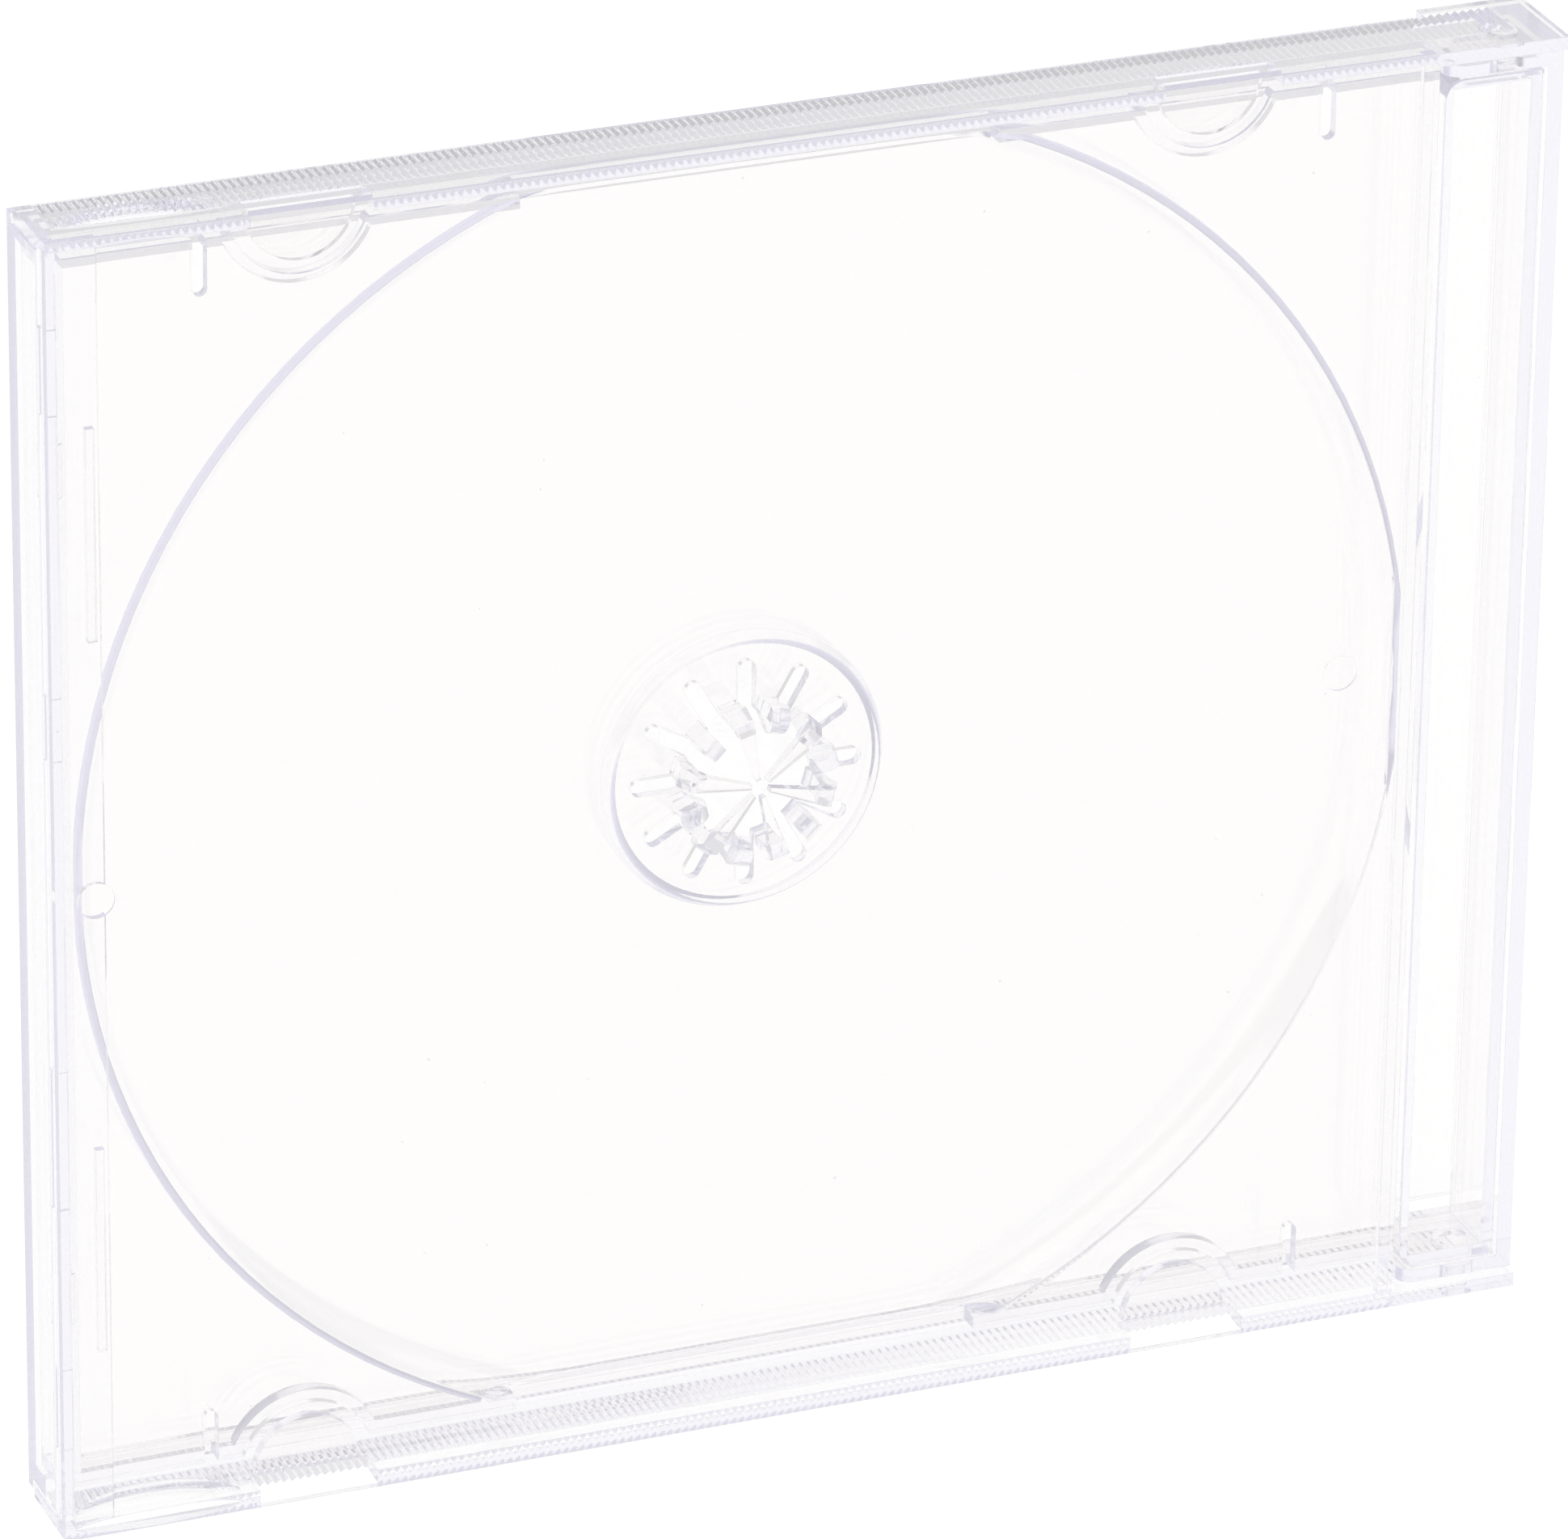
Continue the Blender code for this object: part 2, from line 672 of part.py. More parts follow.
def rim_notches():
    """Lowers the rim along the flat top and bottom of the recess, for the fingertips."""
    mesh = bmesh.new()
    half = RIM_NOTCH_WIDTH / 2
    outline = rectangle(
        DISC_CENTRE_X - half, DISC_CENTRE_X + half, TRAY_EDGE - OVERRUN, TRAY_EDGE + RECESS_EDGE + OVERRUN
    )
    for shape in both_long_edges(outline):
        add_prism(mesh, shape, "Y", TRAY_LAND - OVERRUN, TRAY_LAND + RIM_NOTCH_DEPTH)
    return mesh


def half_moon_pads():
    """Thickens the land from behind where the half-moon recesses go."""
    mesh = bmesh.new()
    radius = TAB_RADIUS + HALF_MOON_CLEARANCE + TRAY_WALL
    base = TRAY_EDGE + TRAY_WALL / 2
    drop = math.degrees(math.asin((base - LID_WALL) / radius))
    for centre in tab_centres():
        outline = arc(centre, LID_WALL, radius, drop, 180 - drop, 24)
        for shape in both_long_edges(outline):
            low = TRAY_LAND + TRAY_WALL / 2
            add_prism(mesh, shape, "Y", low, TRAY_LAND + HALF_MOON_DROP + TRAY_WALL)
    return mesh


def half_moon_recesses():
    """Room in the tray's land for the lid's half-moon tabs, open at the edge."""
    mesh = bmesh.new()
    radius = TAB_RADIUS + HALF_MOON_CLEARANCE
    for centre in tab_centres():
        outline = arc(centre, LID_WALL, radius, 0, 180, 24)
        for shape in both_long_edges(outline):
            add_prism(mesh, shape, "Y", TRAY_LAND - OVERRUN, TRAY_LAND + HALF_MOON_DROP)
    return mesh


def relief_slots():
    """Round-ended slots from the long edges inwards, which let the tray's corners flex."""
    mesh = bmesh.new()
    half = RELIEF_WIDTH / 2
    end = TRAY_EDGE + RELIEF_LENGTH - half
    for offset in RELIEF_OFFSETS:
        centre = DISC_CENTRE_X + offset
        outline = arc(centre, end, half, 0, 180, 8)
        outline += [(centre - half, TRAY_EDGE - OVERRUN), (centre + half, TRAY_EDGE - OVERRUN)]
        for shape in both_long_edges(outline):
            add_prism(mesh, shape, "Y", TRAY_LAND - OVERRUN, TRAY_LAND + 2 * TRAY_WALL)
    return mesh


def hub_platform():
    """The raised round seat that carries the disc's middle."""
    mesh = bmesh.new()
    top, foot = rounded_step(
        PLATFORM_RADIUS,
        HUB_SEAT,
        PLATFORM_FOOT_RADIUS,
        TRAY_FLOOR,
        PLATFORM_TOP_BEND,
        PLATFORM_FOOT_BEND,
    )
    profile = lead_in(foot[::-1] + top[::-1], TRAY_FLOOR + TRAY_WALL / 2)
    add_turned(mesh, DISC_CENTRE_X, MIDDLE, profile, 72)
    return mesh


def hub_hole():
    """Removes the middle of the seat, and its underside so that the seat stays thin."""
    mesh = bmesh.new()
    ratio = (PLATFORM_FOOT_RADIUS - PLATFORM_RADIUS) / PLATFORM_RISE
    inside = PLATFORM_RADIUS - PLATFORM_WALL + ratio * TRAY_WALL
    deep = PLATFORM_RISE + OVERRUN
    profile = [
        (HUB_HOLE_RADIUS, HUB_SEAT - OVERRUN),
        (HUB_HOLE_RADIUS, HUB_SEAT + TRAY_WALL),
        (inside, HUB_SEAT + TRAY_WALL),
        (inside + ratio * deep, HUB_SEAT + TRAY_WALL + deep),
    ]
    add_turned(mesh, DISC_CENTRE_X, MIDDLE, profile, 72)
    return mesh


def spoke_profile():
    """Side view of a long finger: a leg with a hook outside and an arm that reaches the centre."""
    hook = HUB_SEAT - HOOK_RISE - HOOK_RAMP
    arm = HUB_TOP + ARM_SLOPE
    leg = HUB_RADIUS - HUB_LEG
    return [
        (HUB_RADIUS, HUB_SEAT + TRAY_WALL / 2),
        (HUB_RADIUS, HUB_SEAT - HOOK_RISE),
        (HUB_RADIUS + HOOK_REACH, hook),
        (HUB_RADIUS + HOOK_REACH, hook - HOOK_LAND),
        (HUB_RADIUS - CROWN_BEVEL / 3, HUB_TOP + CROWN_BEVEL / 6),
        (HUB_RADIUS - CROWN_BEVEL, HUB_TOP),
        (SPOKE_TIP_RADIUS, arm),
        (SPOKE_TIP_RADIUS, arm + ARM_THICKNESS),
        (leg - ARM_THICKNESS, HUB_TOP + ARM_THICKNESS + ARM_ROOT),
        (leg - ARM_ROOT, HUB_TOP + 2 * ARM_THICKNESS),
        (leg, HUB_SEAT + TRAY_WALL / 2),
    ]


def finger_profile():
    """Side view of a short finger: a leg with a rounded head."""
    leg = HUB_RADIUS - HUB_LEG
    centre = HUB_RADIUS + HOOK_REACH - FINGER_HEAD
    outline = [(leg, HUB_SEAT + TRAY_WALL / 2), (HUB_RADIUS, HUB_SEAT + TRAY_WALL / 2)]
    outline += arc(centre, HUB_TOP + FINGER_DROP, FINGER_HEAD, 20, -200, 10)
    return outline


def add_finger(mesh, profile, angle, tip_width, root_width):
    """Adds a side view as a wedge that widens from the hub's centre outwards."""
    turn = Matrix.Translation((DISC_CENTRE_X, 0, MIDDLE)) @ Matrix.Rotation(-angle, 4, "Y")
    rings = []
    for side in (-1, 1):
        ring = []
        for radius, level in profile:
            share = (radius - SPOKE_TIP_RADIUS) / (HUB_RADIUS - SPOKE_TIP_RADIUS)
            width = tip_width + (root_width - tip_width) * share
            ring.append(mesh.verts.new(turn @ Vector((radius, level, side * width / 2))))
        rings.append(ring)
    left, right = rings
    mesh.faces.new(left)
    mesh.faces.new(right)
    for index in range(len(profile)):
        after = (index + 1) % len(profile)
        side = mesh.faces.new((left[index], left[after], right[after], right[index]))
        side.smooth = True


def hub_fingers():
    mesh = bmesh.new()
    step = 2 * math.pi / SPOKE_COUNT
    for index in range(SPOKE_COUNT):
        long_angle = step * index + math.radians(45)
        add_finger(mesh, spoke_profile(), long_angle, SPOKE_TIP_WIDTH, SPOKE_WIDTH)
        add_finger(mesh, finger_profile(), long_angle - step / 2, SPOKE_TIP_WIDTH, SPOKE_WIDTH)
    return mesh


def hub_slots():
    """Radial slots between the fingers, which let each one bend by itself."""
    mesh = bmesh.new()
    half = SLOT_WIDTH / 2
    start = HUB_HOLE_RADIUS - OVERRUN
    step = math.pi / SPOKE_COUNT
    for index in range(2 * SPOKE_COUNT):
        turn = Matrix.Rotation(step * index, 2)
        straight = arc(SLOT_REACH - half, 0, half, -90, 90, 7)
        straight += [(start, half), (start, -half)]
        outline = []
        for point in straight:
            across, upward = turn @ Vector(point)
            outline.append((DISC_CENTRE_X + across, MIDDLE + upward))
        low = HUB_SEAT - OVERRUN
        add_prism(mesh, outline, "Y", low, TRAY_FLOOR + TRAY_WALL + OVERRUN)
    return mesh


def tray_gate():
    mesh = bmesh.new()
    outline = arc(DISC_CENTRE_X + TRAY_GATE_OFFSET, MIDDLE, GATE_RADIUS, 0, 345, 23)
    add_prism(mesh, outline, "Y", TRAY_FLOOR - OVERRUN, TRAY_FLOOR + GATE_DEPTH)
    return mesh


def build_tray():
    tray = tray_body()
    cut(tray, "land_step", land_step())
    cut(tray, "tray_underside", tray_underside())
    join(tray, "bowl_wall", recess_bowl(TRAY_WALL))
    cut(tray, "bowl", recess_bowl(0))
    cut(tray, "rim_notches", rim_notches())
    join(tray, "half_moon_pads", half_moon_pads())
    cut(tray, "half_moon_recesses", half_moon_recesses())
    cut(tray, "relief_slots", relief_slots())
    cut(tray, "tray_gate", tray_gate())
    join(tray, "hub_platform", hub_platform())
    cut(tray, "hub_hole", hub_hole())
    join(tray, "hub_fingers", hub_fingers())
    cut(tray, "hub_slots", hub_slots())
    tray.data.materials.append(clear_plastic("clear_tray", (0.98, 0.98, 1.0, 1), 0.03))
    return tray


def main():
    clear_scene()
    build_cover()
    build_tray()
    build_lid()


main()
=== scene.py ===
"""Clear CD jewel case standing on its long edge in a white studio."""

import json
import math

import bpy
from mathutils import Matrix, Vector

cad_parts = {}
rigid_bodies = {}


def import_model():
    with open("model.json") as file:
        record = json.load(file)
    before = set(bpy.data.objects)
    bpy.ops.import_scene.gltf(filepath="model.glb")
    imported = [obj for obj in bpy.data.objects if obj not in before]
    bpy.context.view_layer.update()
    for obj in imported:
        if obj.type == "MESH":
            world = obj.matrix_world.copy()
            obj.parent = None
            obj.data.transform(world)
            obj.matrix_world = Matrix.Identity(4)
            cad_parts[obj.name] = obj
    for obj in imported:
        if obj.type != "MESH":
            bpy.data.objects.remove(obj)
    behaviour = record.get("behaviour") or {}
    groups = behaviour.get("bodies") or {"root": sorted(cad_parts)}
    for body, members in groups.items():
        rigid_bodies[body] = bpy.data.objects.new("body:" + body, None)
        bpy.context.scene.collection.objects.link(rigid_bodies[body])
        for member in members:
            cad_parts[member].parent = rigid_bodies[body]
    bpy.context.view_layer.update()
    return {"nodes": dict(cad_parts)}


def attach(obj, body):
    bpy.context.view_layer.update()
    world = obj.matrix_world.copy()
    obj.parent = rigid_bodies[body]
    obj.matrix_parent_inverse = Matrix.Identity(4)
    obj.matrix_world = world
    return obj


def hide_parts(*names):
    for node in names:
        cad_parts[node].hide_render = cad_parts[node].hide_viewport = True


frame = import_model()

bl_info = {
    "name": "Clear Jewel Case",
    "version": (1, 1, 0),
    "blender": (4, 5, 0),
    "location": "3D View > Sidebar > Jewel Case",
    "description": "Dresses the packed jewel case in clear polystyrene and lights it",
    "category": "Object",
}

MERGE_DISTANCE = 2e-6
FLAT_ANGLE = math.radians(0.2)

POLYSTYRENE_IOR = 1.59
SPECK_RADIUS = 0.05  # as a share of the speck spacing
LAMP_TINT = (0.99, 0.99, 0.995, 1)

FLOOR_HEIGHT = -0.0002
CAMERA_TARGET = Vector((-0.000972, 0, 0.062468))
CAMERA_REACH = (0.05, 50)
SENSOR_WIDTH = 36
LIGHT_BOUNCES = 14
MIRROR_BOUNCES = 12

# Where each step of the surroundings starts and ends, as a coordinate on the unit dome.
FRONT_TO_BEHIND = (-0.7, 0.4)
MIDDLE_TO_RIGHT = (0.5, 0.9)
MIDDLE_TO_LEFT = (-0.5, -0.9)
HORIZON_TO_SKY = (0.02, 0.06)
# Half the height over which the gap and the overhead light fade in.
GAP_FADE = 0.06
OVERHEAD_FADE = 0.1
BRIGHTNESS_BELOW_HORIZON = 1.0


class ClearPlasticLook(bpy.types.PropertyGroup):
    """Looks of the clear polystyrene that all three mouldings are made of."""

    plate_tone: bpy.props.FloatVectorProperty(
        name="Plate tone",
        description="Colour of light that has gone through a clean face",
        subtype="COLOR",
        size=3,
        min=0.0,
        max=1.0,
        default=(1.0, 0.9955, 0.984),
    )
    # Painted glow: the inside of the plastic gives off this colour as its own light, in place of
    # the light a long way through it has lost.
    painted_glow_tint: bpy.props.FloatVectorProperty(
        name="Painted glow tint",
        description="Colour that light takes on after a long way through the plastic",
        subtype="COLOR",
        size=3,
        min=0.0,
        max=1.0,
        default=(0.79, 0.78, 0.91),
    )
    # Sets both how fast light fades in the plastic and how bright the painted glow that replaces
    # it becomes.
    fade_and_glow_density: bpy.props.FloatProperty(
        name="Fade and glow density",
        description="How fast light takes on the haze, for each metre of its way",
        min=0.0,
        default=62.0,
    )
    edge_radius: bpy.props.FloatProperty(
        name="Edge radius",
        description="Rounding of the moulded edges",
        unit="LENGTH",
        min=0.0,
        default=0.00008,
    )
    wave_size: bpy.props.FloatProperty(
        name="Wave size",
        description="Size of the soft flow waves that moulding leaves on the faces",
        unit="LENGTH",
        min=0.001,
        default=0.009,
    )
    wave_height: bpy.props.FloatProperty(
        name="Wave height",
        description="Height of the flow waves on the tray, the waviest piece",
        unit="LENGTH",
        min=0.0,
        default=0.00002,
    )
    speck_spacing: bpy.props.FloatProperty(
        name="Speck spacing",
        description="Distance between fine specks and scuffs on the faces",
        unit="LENGTH",
        min=0.0005,
        default=0.0026,
    )
    speck_tone: bpy.props.FloatVectorProperty(
        name="Speck tone",
        description="Colour of the fine specks",
        subtype="COLOR",
        size=3,
        min=0.0,
        max=1.0,
        default=(0.80, 0.80, 0.82),
    )
    speck_roughness: bpy.props.FloatProperty(
        name="Speck roughness",
        description="Roughness of the fine specks, on faces that are polished elsewhere",
        subtype="FACTOR",
        min=0.0,
        max=1.0,
        default=0.3,
    )
    smooth_angle: bpy.props.FloatProperty(
        name="Smooth angle",
        description="Edges flatter than this are shaded smooth",
        subtype="ANGLE",
        default=math.radians(32),
    )


class StudioLook(bpy.types.PropertyGroup):
    """Sizes and tones of the studio, and the place of the camera."""

    floor_size: bpy.props.FloatProperty(
        name="Floor size",
        description="Side of the square floor",
        unit="LENGTH",
        default=6.0,
    )
    floor_tone: bpy.props.FloatVectorProperty(
        name="Floor tone",
        description="Colour of the plain floor, which glows like a light table",
        subtype="COLOR",
        size=3,
        min=0.0,
        max=1.0,
        default=(1.0, 1.0, 1.0),
    )
    floor_glow: bpy.props.FloatProperty(
        name="Floor glow",
        description="Brightness of the floor",
        min=0.0,
        default=1.045,
    )
    sky_above: bpy.props.FloatProperty(
        name="Light above",
        description="Brightness of the surroundings overhead",
        min=0.0,
        default=1.15,
    )
    sky_above_from: bpy.props.FloatProperty(
        name="Overhead from",
        description="Height on the unit dome where the overhead light starts",
        min=0.0,
        max=1.0,
        default=0.7,
    )
    sky_gap: bpy.props.FloatProperty(
        name="Light in the gap",
        description="Brightness between the walls near the horizon and the overhead light",
        min=0.0,
        default=1.05,
    )
    sky_gap_from: bpy.props.FloatProperty(
        name="Gap from",
        description="Height on the unit dome where the walls near the horizon end",
        min=0.0,
        max=1.0,
        default=0.43,
    )
    sky_behind: bpy.props.FloatProperty(
        name="Light behind",
        description="Brightness of the surroundings behind the case",
        min=0.0,
        default=0.7,
    )
    sky_front: bpy.props.FloatProperty(
        name="Light in front",
        description="Brightness of the surroundings in front of the case",
        min=0.0,
        default=0.45,
    )
    sky_left: bpy.props.FloatProperty(
        name="Light on the left",
        description="Brightness of the surroundings at the opening side",
        min=0.0,
        default=0.2,
    )
    sky_right: bpy.props.FloatProperty(
        name="Light on the right",
        description="Brightness of the surroundings at the hinge side",
        min=0.0,
        default=0.35,
    )
    azimuth: bpy.props.FloatProperty(
        name="Camera azimuth",
        description="Turn of the camera round the case, from straight in front",
        subtype="ANGLE",
        default=math.radians(-21.911),
    )
    elevation: bpy.props.FloatProperty(
        name="Camera elevation",
        description="Height of the camera above the horizon",
        subtype="ANGLE",
        default=math.radians(25.187),
    )
    roll: bpy.props.FloatProperty(
        name="Camera roll",
        description="Turn of the camera about its own line of sight",
        subtype="ANGLE",
        default=math.radians(0.8),
    )
    distance: bpy.props.FloatProperty(
        name="Camera distance",
        description="From the camera to its target near the middle of the case",
        unit="LENGTH",
        default=1.010669,
    )
    lens: bpy.props.FloatProperty(
        name="Lens",
        description="Focal length on a 36 mm wide sensor",
        unit="CAMERA",
        default=260.1,
    )


def deselect():
    if bpy.context.object and bpy.context.object.mode != "OBJECT":
        bpy.ops.object.mode_set(mode="OBJECT")
    bpy.ops.object.select_all(action="DESELECT")


def pick(thing):
    """Makes one object the only one selected, and the active one."""
    deselect()
    thing.select_set(True)
    bpy.context.view_layer.objects.active = thing


def add_node(tree, kind, place, **settings):
    node = tree.nodes.new(kind)
    node.location = place
    for name, value in settings.items():
        setattr(node, name, value)
    return node


def new_group(name, inputs, output, output_kind):
    """A shader node group with named inputs and one output, and its two end nodes."""
    group = bpy.data.node_groups.new(name, "ShaderNodeTree")
    for label, kind in inputs:
        group.interface.new_socket(name=label, in_out="INPUT", socket_type=kind)
    group.interface.new_socket(name=output, in_out="OUTPUT", socket_type=output_kind)
    start = add_node(group, "NodeGroupInput", (-600, 0))
    end = add_node(group, "NodeGroupOutput", (600, 0))
    return group, start, end


def moulded_skin():
    """Rounded edges and soft flow waves, as a normal."""
    name = "moulded_skin"
    if name in bpy.data.node_groups:
        return bpy.data.node_groups[name]
    inputs = (
        ("Place", "NodeSocketVector"),
        ("Edge Radius", "NodeSocketFloat"),
        ("Wave Scale", "NodeSocketFloat"),
        ("Wave Height", "NodeSocketFloat"),
    )
    group, start, end = new_group(name, inputs, "Normal", "NodeSocketVector")
    edges = add_node(group, "ShaderNodeBevel", (-200, -200), samples=1)
    waves = add_node(group, "ShaderNodeTexNoise", (-200, 200))
    waves.inputs["Detail"].default_value = 0.0
    bump = add_node(group, "ShaderNodeBump", (200, 0))
    group.links.new(start.outputs["Edge Radius"], edges.inputs["Radius"])
    group.links.new(start.outputs["Place"], waves.inputs["Vector"])
    group.links.new(start.outputs["Wave Scale"], waves.inputs["Scale"])
    group.links.new(start.outputs["Wave Height"], bump.inputs["Distance"])
    group.links.new(waves.outputs["Fac"], bump.inputs["Height"])
    group.links.new(edges.outputs["Normal"], bump.inputs["Normal"])
    group.links.new(bump.outputs["Normal"], end.inputs["Normal"])
    return group


def fine_specks():
    """Small round specks in some of the cells of a scattered pattern, as a mask."""
    name = "fine_specks"
    if name in bpy.data.node_groups:
        return bpy.data.node_groups[name]
    inputs = (
        ("Place", "NodeSocketVector"),
        ("Scale", "NodeSocketFloat"),
        ("Size", "NodeSocketFloat"),
        ("Share", "NodeSocketFloat"),
    )
    group, start, end = new_group(name, inputs, "Mask", "NodeSocketFloat")
    cells = add_node(group, "ShaderNodeTexVoronoi", (-200, 0))
    near = add_node(group, "ShaderNodeMath", (100, 100), operation="LESS_THAN")
    parts = add_node(group, "ShaderNodeSeparateColor", (0, -150))
    some = add_node(group, "ShaderNodeMath", (200, -150), operation="LESS_THAN")
    both = add_node(group, "ShaderNodeMath", (400, 0), operation="MULTIPLY")
    group.links.new(start.outputs["Place"], cells.inputs["Vector"])
    group.links.new(start.outputs["Scale"], cells.inputs["Scale"])
    group.links.new(cells.outputs["Distance"], near.inputs[0])
    group.links.new(start.outputs["Size"], near.inputs[1])
    group.links.new(cells.outputs["Color"], parts.inputs["Color"])
    group.links.new(parts.outputs["Red"], some.inputs[0])
    group.links.new(start.outputs["Share"], some.inputs[1])
    group.links.new(near.outputs["Value"], both.inputs[0])
    group.links.new(some.outputs["Value"], both.inputs[1])
    group.links.new(both.outputs["Value"], end.inputs["Mask"])
    return group


def clear_polystyrene(name, look, waviness, speck_share):
    """Polished clear plastic that lets lamps shine through. Light on long ways through it fades,
    and a painted lavender glow from inside takes its place.
    """
    material = bpy.data.materials.new(name)
    material.use_nodes = True
    tree = material.node_tree
    tree.nodes.clear()
    link = tree.links.new
    output = add_node(tree, "ShaderNodeOutputMaterial", (900, 0))
    place = add_node(tree, "ShaderNodeTexCoord", (-900, 0))

    skin = add_node(tree, "ShaderNodeGroup", (-500, -300), node_tree=moulded_skin())
    skin.inputs["Edge Radius"].default_value = look.edge_radius
    skin.inputs["Wave Scale"].default_value = 1 / look.wave_size
    skin.inputs["Wave Height"].default_value = look.wave_height * waviness
    link(place.outputs["Object"], skin.inputs["Place"])

    specks = add_node(tree, "ShaderNodeGroup", (-500, 100), node_tree=fine_specks())
    specks.inputs["Scale"].default_value = 1 / look.speck_spacing
    specks.inputs["Size"].default_value = SPECK_RADIUS
    specks.inputs["Share"].default_value = speck_share
    link(place.outputs["Object"], specks.inputs["Place"])
    tone = add_node(tree, "ShaderNodeMix", (-200, 200), data_type="RGBA")
    tone.inputs["A"].default_value = (*look.plate_tone, 1)
    tone.inputs["B"].default_value = (*look.speck_tone, 1)
    link(specks.outputs["Mask"], tone.inputs["Factor"])
    rough = add_node(tree, "ShaderNodeMath", (-200, -50), operation="MULTIPLY")
    rough.inputs[1].default_value = look.speck_roughness
    link(specks.outputs["Mask"], rough.inputs[0])

    shader = add_node(tree, "ShaderNodeBsdfPrincipled", (100, 0))
    shader.inputs["Metallic"].default_value = 0.0
    shader.inputs["IOR"].default_value = POLYSTYRENE_IOR
    shader.inputs["Transmission Weight"].default_value = 1.0
    link(tone.outputs["Result"], shader.inputs["Base Color"])
    link(rough.outputs["Value"], shader.inputs["Roughness"])
    link(skin.outputs["Normal"], shader.inputs["Normal"])

    clear = add_node(tree, "ShaderNodeBsdfTransparent", (400, -200))
    clear.inputs["Color"].default_value = LAMP_TINT
    rays = add_node(tree, "ShaderNodeLightPath", (400, 400))
    mix = add_node(tree, "ShaderNodeMixShader", (650, 100))
    link(rays.outputs["Is Shadow Ray"], mix.inputs["Fac"])
    link(shader.outputs["BSDF"], mix.inputs[1])
    link(clear.outputs["BSDF"], mix.inputs[2])
    link(mix.outputs["Shader"], output.inputs["Surface"])

    # Painted glow: long ways through the plastic fade to black, and an emission volume fills
    # them with lavender light of its own.
    depth = add_node(tree, "ShaderNodeVolumeAbsorption", (400, -400))
    depth.inputs["Color"].default_value = (0, 0, 0, 1)
    depth.inputs["Density"].default_value = look.fade_and_glow_density
    painted_glow = add_node(tree, "ShaderNodeEmission", (400, -600))
    painted_glow.inputs["Color"].default_value = (*look.painted_glow_tint, 1)
    painted_glow.inputs["Strength"].default_value = look.fade_and_glow_density
    filled = add_node(tree, "ShaderNodeAddShader", (650, -400))
    link(depth.outputs["Volume"], filled.inputs[0])
    link(painted_glow.outputs["Emission"], filled.inputs[1])
    link(filled.outputs["Shader"], output.inputs["Volume"])
    return material


def merge_triangles():
    """Joins the picked mesh's loose triangles into its flat faces."""
    bpy.ops.object.mode_set(mode="EDIT")
    bpy.ops.mesh.select_all(action="SELECT")
    bpy.ops.mesh.remove_doubles(threshold=MERGE_DISTANCE)
    bpy.ops.mesh.dissolve_degenerate(threshold=MERGE_DISTANCE)
    bpy.ops.mesh.dissolve_limited(angle_limit=FLAT_ANGLE)
    bpy.ops.object.mode_set(mode="OBJECT")


def smooth_bends(piece, smooth_angle):
    """Shades the picked piece smooth round its bends, and keeps its edges and faces crisp."""
    bpy.ops.object.mode_set(mode="EDIT")
    bpy.ops.mesh.customdata_custom_splitnormals_clear()
    bpy.ops.mesh.select_mode(type="EDGE")
    bpy.ops.mesh.select_all(action="SELECT")
    bpy.ops.mesh.mark_sharp(clear=True)
    bpy.ops.mesh.select_all(action="DESELECT")
    bpy.ops.mesh.edges_select_sharp(sharpness=smooth_angle)
    bpy.ops.mesh.mark_sharp()
    bpy.ops.object.mode_set(mode="OBJECT")
    bpy.ops.object.shade_smooth()
    bpy.ops.object.modifier_add(type="WEIGHTED_NORMAL")
    weighted = piece.modifiers[-1]
    weighted.keep_sharp = True
    bpy.ops.object.modifier_apply(modifier=weighted.name)


def moulding(node, name, slot, body, waviness, speck_share):
    """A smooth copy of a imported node, dressed in clear plastic, which stands for it."""
    look = bpy.context.scene.case_plastic
    pick(frame["nodes"][node])
    bpy.ops.object.duplicate()
    piece = bpy.context.object
    bpy.ops.object.parent_clear(type="CLEAR_KEEP_TRANSFORM")
    piece.name = name
    piece.data.name = name
    merge_triangles()
    smooth_bends(piece, look.smooth_angle)
    piece.data.materials.clear()
    piece.data.materials.append(clear_polystyrene(slot, look, waviness, speck_share))
    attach(piece, body)
    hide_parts(node)
    return piece


class CASE_OT_front_lid(bpy.types.Operator):
    """Dresses the front lid in clear polystyrene"""

    bl_idname = "jewel_case.front_lid"
    bl_label = "Front lid"

    def execute(self, context):
        moulding(
            "front_lid", "lid_moulding", "clear_lid", "lid", waviness=0.4, speck_share=0.05
        )
        return {"FINISHED"}


class CASE_OT_back_cover(bpy.types.Operator):
    """Dresses the back cover in clear polystyrene"""

    bl_idname = "jewel_case.back_cover"
    bl_label = "Back cover"

    def execute(self, context):
        moulding(
            "back_cover", "cover_moulding", "clear_cover", "base", waviness=0.6, speck_share=0.03
        )
        return {"FINISHED"}


class CASE_OT_disc_tray(bpy.types.Operator):
    """Dresses the disc tray in clear polystyrene"""

    bl_idname = "jewel_case.disc_tray"
    bl_label = "Disc tray"

    def execute(self, context):
        moulding(
            "disc_tray", "tray_moulding", "clear_tray", "base", waviness=1.0, speck_share=0.02
        )
        return {"FINISHED"}


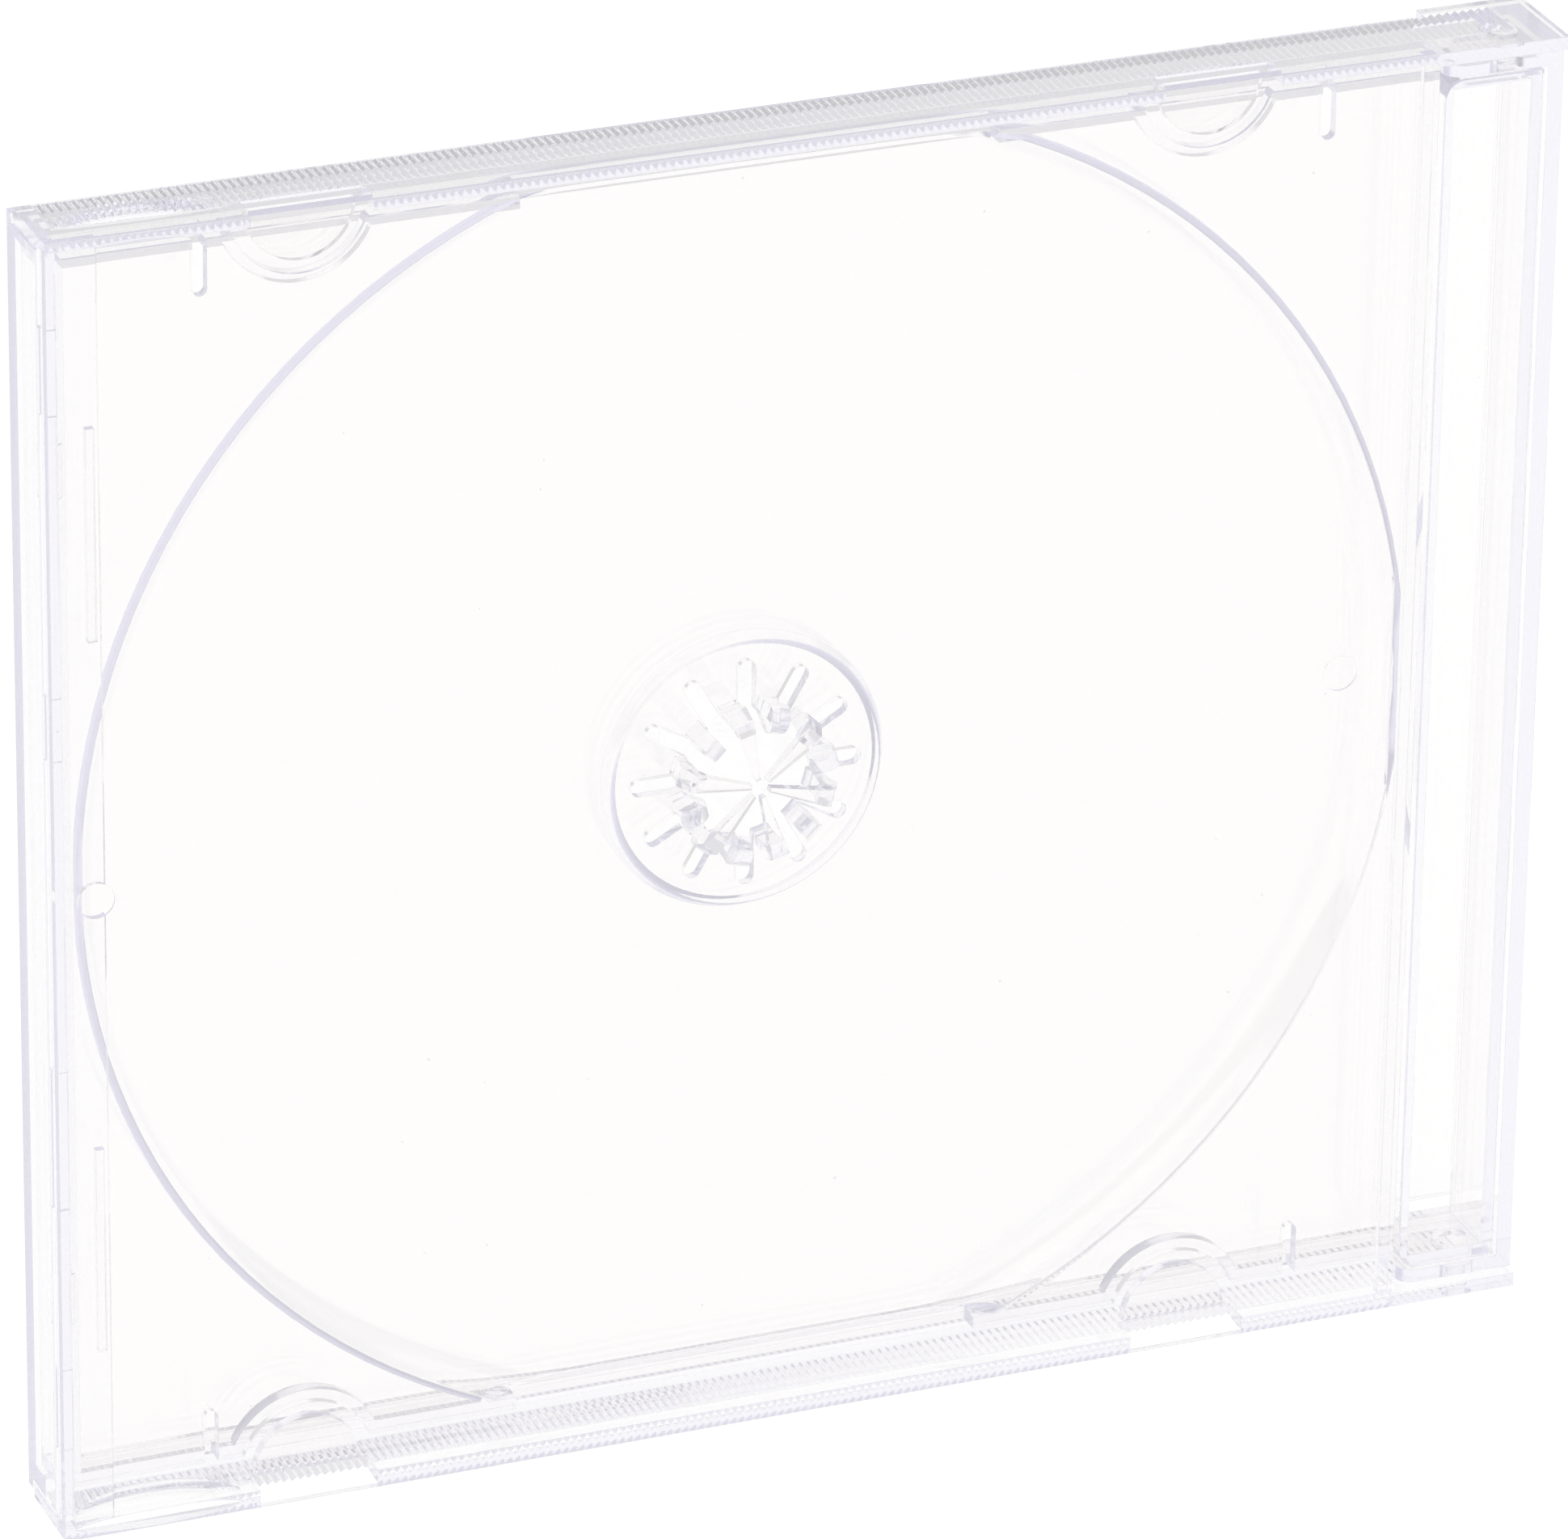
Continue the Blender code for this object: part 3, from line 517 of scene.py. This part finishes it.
class CASE_OT_studio(bpy.types.Operator):
    """Lays the floor and sets the surroundings and the camera"""

    bl_idname = "jewel_case.studio"
    bl_label = "Studio"

    def execute(self, context):
        look = context.scene.case_studio
        self.lay_floor(look)
        self.light(context.scene, look)
        self.place_camera(context.scene, look)
        self.follow_light(context.scene)
        return {"FINISHED"}

    def lay_floor(self, look):
        deselect()
        bpy.ops.mesh.primitive_plane_add(size=look.floor_size, location=(0, 0, FLOOR_HEIGHT))
        floor = bpy.context.object
        floor.name = "studio_floor"
        bpy.ops.object.transform_apply(location=True, rotation=True, scale=True)
        material = bpy.data.materials.new("floor_paper")
        material.use_nodes = True
        material.cycles.emission_sampling = "NONE"
        shader = material.node_tree.nodes["Principled BSDF"]
        shader.inputs["Base Color"].default_value = (0, 0, 0, 1)
        shader.inputs["Specular IOR Level"].default_value = 0.0
        shader.inputs["Emission Color"].default_value = (*look.floor_tone, 1)
        shader.inputs["Emission Strength"].default_value = look.floor_glow
        floor.data.materials.append(material)

    def step(self, tree, source, ends, place):
        """A soft step from 0 to 1 as the source goes from one end to the other."""
        node = add_node(tree, "ShaderNodeMapRange", place, interpolation_type="SMOOTHSTEP")
        node.inputs["From Min"].default_value, node.inputs["From Max"].default_value = ends
        tree.links.new(source, node.inputs["Value"])
        return node.outputs["Result"]

    def blend(self, tree, share, first, second, place):
        """Goes from the first brightness to the second, each a number or a socket."""
        node = add_node(tree, "ShaderNodeMix", place, data_type="FLOAT")
        tree.links.new(share, node.inputs["Factor"])
        for value, socket in ((first, node.inputs["A"]), (second, node.inputs["B"])):
            if isinstance(value, float):
                socket.default_value = value
            else:
                tree.links.new(value, socket)
        return node.outputs["Result"]

    def light(self, scene, look):
        """Soft white surroundings without lamps: bright overhead, dimmer near the horizon."""
        world = bpy.data.worlds.new("white_surroundings")
        scene.world = world
        world.use_nodes = True
        world.cycles.sampling_method = "NONE"
        tree = world.node_tree
        tree.nodes.clear()
        output = add_node(tree, "ShaderNodeOutputWorld", (1600, 0))
        sky = add_node(tree, "ShaderNodeBackground", (1400, 0))
        way = add_node(tree, "ShaderNodeTexCoord", (-600, 0))
        parts = add_node(tree, "ShaderNodeSeparateXYZ", (-400, 0))
        tree.links.new(way.outputs["Generated"], parts.inputs["Vector"])
        x, y, z = (parts.outputs[axis] for axis in "XYZ")
        low = look.sky_gap_from
        high = look.sky_above_from
        behind = self.step(tree, y, FRONT_TO_BEHIND, (-100, 300))
        right = self.step(tree, x, MIDDLE_TO_RIGHT, (-100, 0))
        left = self.step(tree, x, MIDDLE_TO_LEFT, (-100, -300))
        gap = self.step(tree, z, (low - GAP_FADE, low + GAP_FADE), (-100, -600))
        above = self.step(tree, z, (high - OVERHEAD_FADE, high + OVERHEAD_FADE), (-100, -900))
        dome = self.step(tree, z, HORIZON_TO_SKY, (-100, -1200))
        tone = self.blend(tree, behind, look.sky_front, look.sky_behind, (200, 300))
        tone = self.blend(tree, right, tone, look.sky_right, (400, 200))
        tone = self.blend(tree, left, tone, look.sky_left, (600, 100))
        tone = self.blend(tree, gap, tone, look.sky_gap, (800, 0))
        tone = self.blend(tree, above, tone, look.sky_above, (1000, -100))
        tone = self.blend(tree, dome, BRIGHTNESS_BELOW_HORIZON, tone, (1200, -200))
        tree.links.new(tone, sky.inputs["Color"])
        tree.links.new(sky.outputs["Background"], output.inputs["Surface"])

    def place_camera(self, scene, look):
        """Aims the camera at its target from the chosen angles and distance."""
        flat = math.cos(look.elevation)
        out = Vector(
            (
                math.sin(look.azimuth) * flat,
                -math.cos(look.azimuth) * flat,
                math.sin(look.elevation),
            )
        )
        level = Vector((math.cos(look.azimuth), math.sin(look.azimuth), 0))
        upward = out.cross(level)
        right = level * math.cos(look.roll) + upward * math.sin(look.roll)
        up = out.cross(right)
        deselect()
        bpy.ops.object.camera_add()
        camera = bpy.context.object
        camera.name = "studio_camera"
        turn = Matrix((right, up, out)).transposed().to_4x4()
        place = CAMERA_TARGET + out * look.distance
        camera.matrix_world = Matrix.Translation(place) @ turn
        camera.data.lens = look.lens
        camera.data.sensor_width = SENSOR_WIDTH
        camera.data.clip_start, camera.data.clip_end = CAMERA_REACH
        scene.camera = camera

    def follow_light(self, scene):
        """Follows light through all the faces of the plastic, and shows tones as they are."""
        scene.view_settings.view_transform = "Standard"
        scene.cycles.max_bounces = LIGHT_BOUNCES
        scene.cycles.transmission_bounces = LIGHT_BOUNCES
        scene.cycles.transparent_max_bounces = LIGHT_BOUNCES
        scene.cycles.glossy_bounces = MIRROR_BOUNCES


class CASE_PT_sidebar(bpy.types.Panel):
    """The case's pieces and the studio, in the order they are made"""

    bl_label = "Jewel Case"
    bl_idname = "CASE_PT_sidebar"
    bl_space_type = "VIEW_3D"
    bl_region_type = "UI"
    bl_category = "Jewel Case"

    def draw(self, context):
        column = self.layout.column()
        for operator in OPERATORS:
            column.operator(operator.bl_idname)
        for group in (context.scene.case_plastic, context.scene.case_studio):
            box = self.layout.box()
            for name in type(group).__annotations__:
                box.prop(group, name)


OPERATORS = (CASE_OT_front_lid, CASE_OT_back_cover, CASE_OT_disc_tray, CASE_OT_studio)
CLASSES = (ClearPlasticLook, StudioLook, *OPERATORS, CASE_PT_sidebar)


def register():
    for kind in CLASSES:
        bpy.utils.register_class(kind)
    bpy.types.Scene.case_plastic = bpy.props.PointerProperty(type=ClearPlasticLook)
    bpy.types.Scene.case_studio = bpy.props.PointerProperty(type=StudioLook)


def unregister():
    del bpy.types.Scene.case_studio
    del bpy.types.Scene.case_plastic
    for kind in reversed(CLASSES):
        bpy.utils.unregister_class(kind)


def make_case():
    register()
    bpy.ops.jewel_case.front_lid()
    bpy.ops.jewel_case.back_cover()
    bpy.ops.jewel_case.disc_tray()
    bpy.ops.jewel_case.studio()


if __name__ == "__main__":
    make_case()
